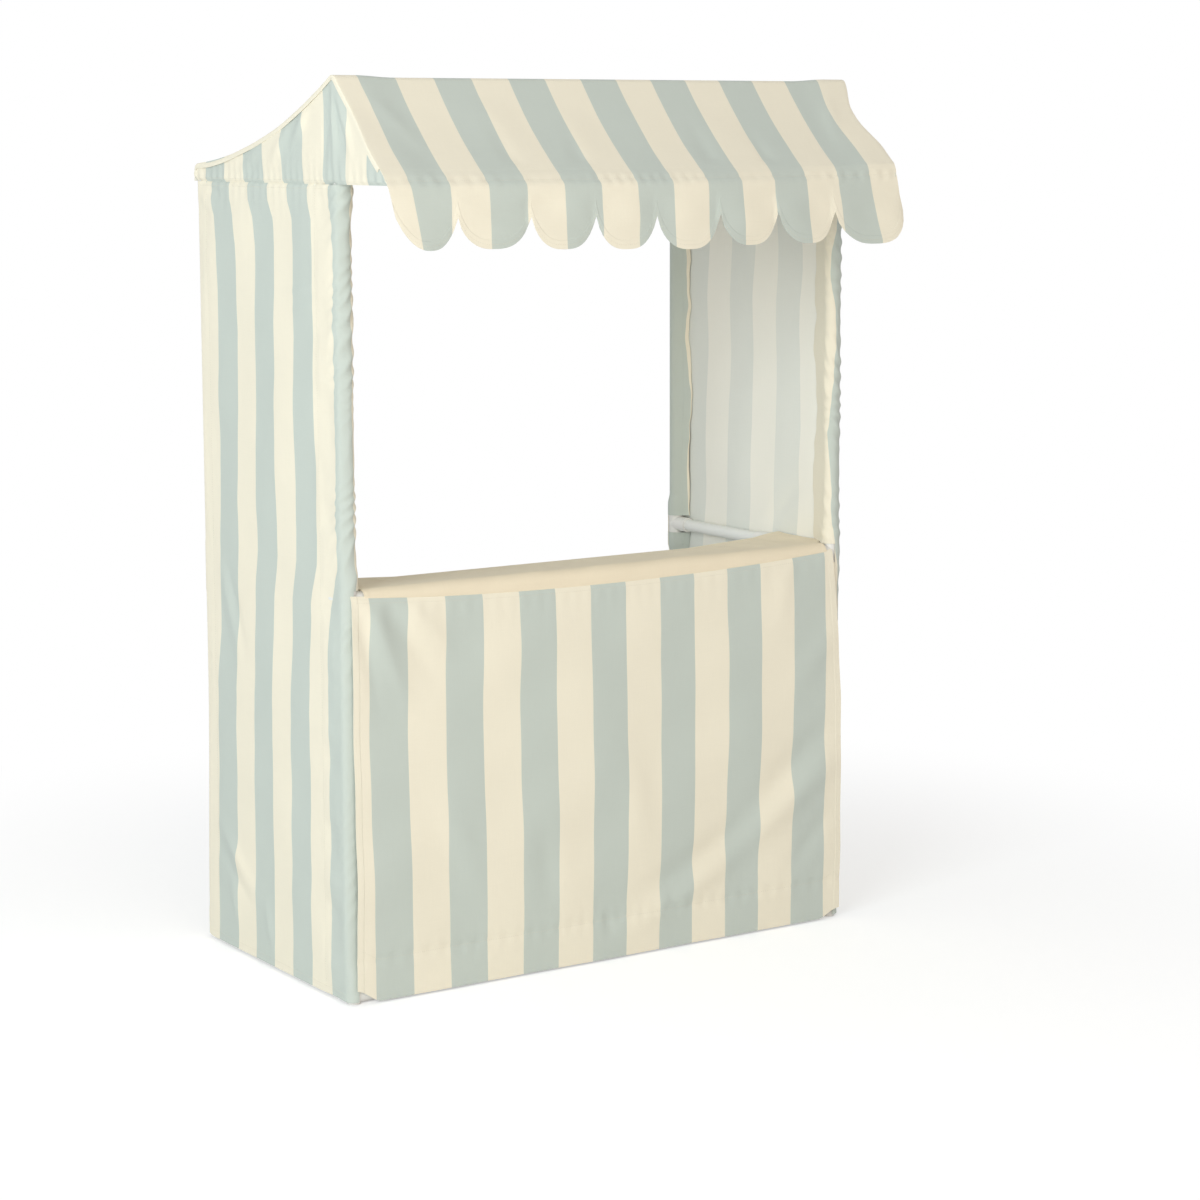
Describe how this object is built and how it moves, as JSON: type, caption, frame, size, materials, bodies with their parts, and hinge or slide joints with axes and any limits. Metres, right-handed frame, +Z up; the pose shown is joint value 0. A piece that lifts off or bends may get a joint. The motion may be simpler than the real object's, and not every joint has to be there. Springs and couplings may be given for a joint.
{
  "type": "toy market stall",
  "caption": "Child's play market stall: a white plastic tube frame under a striped cloth cover, with a counter, a pitched roof, a short awning and a scalloped valance.",
  "frame": {"origin": "on the floor, under the centre of the whole stall's bounding box", "axes": "+Z up, +X to the right seen from the serving side, -Y out of the serving side towards the customer"},
  "size_m": [0.8652, 0.5552, 1.2836],
  "materials": {
    "striped_cloth": "matt woven cotton canvas, printed with wide cream and sage-grey stripes",
    "cream_cloth": "matt woven cotton canvas, plain cream",
    "white_tube": "satin extruded plastic tube, white",
    "white_connector": "satin moulded plastic, white"
  },
  "bodies": {
    "root": {"left_front_post_lower": "white_tube", "right_front_post_lower": "white_tube", "left_front_post_upper": "white_tube", "right_front_post_upper": "white_tube", "left_front_post_top": "white_tube", "right_front_post_top": "white_tube", "left_back_post_lower": "white_tube", "right_back_post_lower": "white_tube", "left_back_post_upper": "white_tube", "right_back_post_upper": "white_tube", "left_bottom_rail": "white_tube", "right_bottom_rail": "white_tube", "left_counter_rail_front": "white_tube", "right_counter_rail_front": "white_tube", "left_counter_rail_back": "white_tube", "right_counter_rail_back": "white_tube", "left_eave_rail": "white_tube", "right_eave_rail": "white_tube", "left_awning_arm": "white_tube", "right_awning_arm": "white_tube", "front_bottom_bar": "white_tube", "back_bottom_bar": "white_tube", "counter_nose_bar": "white_tube", "counter_shelf_bar": "white_tube", "back_eave_bar": "white_tube", "ridge_bar": "white_tube", "awning_bar": "white_tube", "front_feet": "white_connector", "back_feet": "white_connector", "front_counter_crosses": "white_connector", "back_counter_tees": "white_connector", "shelf_tees": "white_connector", "front_eave_crosses": "white_connector", "back_eave_corners": "white_connector", "ridge_elbows": "white_connector", "awning_elbows": "white_connector", "left_wall": "striped_cloth", "right_wall": "striped_cloth", "left_gable": "striped_cloth", "right_gable": "striped_cloth", "roof_back": "striped_cloth", "roof_front": "striped_cloth", "valance": "striped_cloth", "front_panel": "striped_cloth", "counter_cloth": "cream_cloth"}
  },
  "joints": []
}
